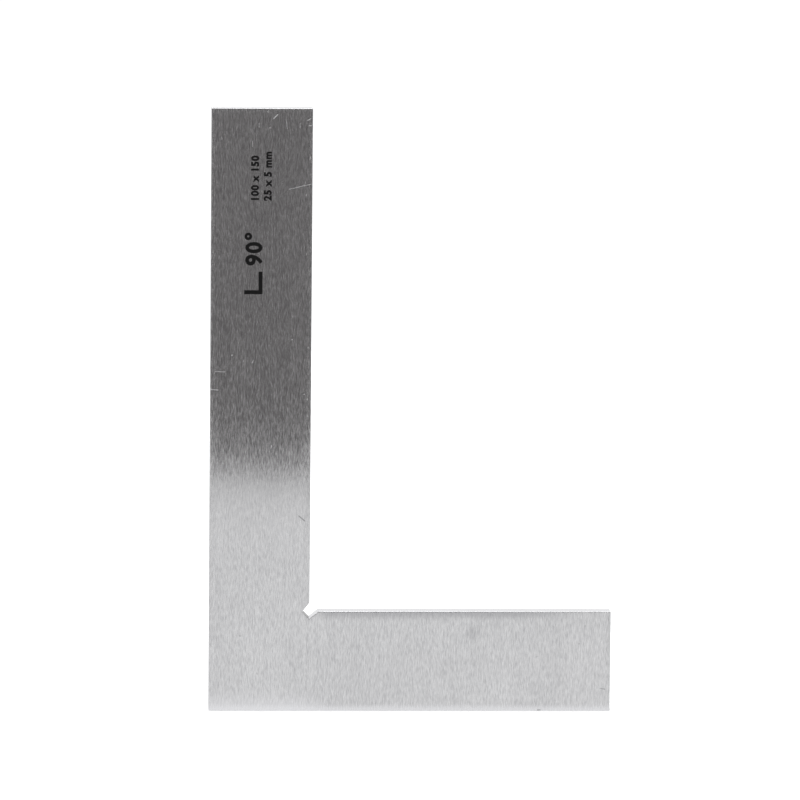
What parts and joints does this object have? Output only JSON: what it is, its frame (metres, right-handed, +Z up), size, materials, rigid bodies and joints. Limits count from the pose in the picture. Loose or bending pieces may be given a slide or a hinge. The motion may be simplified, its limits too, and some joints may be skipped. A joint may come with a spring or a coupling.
{
  "type": "flat engineer's square",
  "caption": "Flat L-shaped steel square for marking and checking right angles, with two parallel-sided arms and a 45 degree relief slot in the inner corner.",
  "frame": {"origin": "middle of the box's base: halfway along the short arm's outer edge and halfway through the thickness, with the square standing on its short arm", "axes": "+Z up along the long arm, +X along the short arm away from the long arm, -Y out of the marked face"},
  "size_m": [0.1, 0.005, 0.15],
  "materials": {
    "ground_steel": "surface-ground bare steel, fine grain along the long arm"
  },
  "bodies": {
    "root": {"square_plate": "ground_steel"}
  },
  "joints": []
}
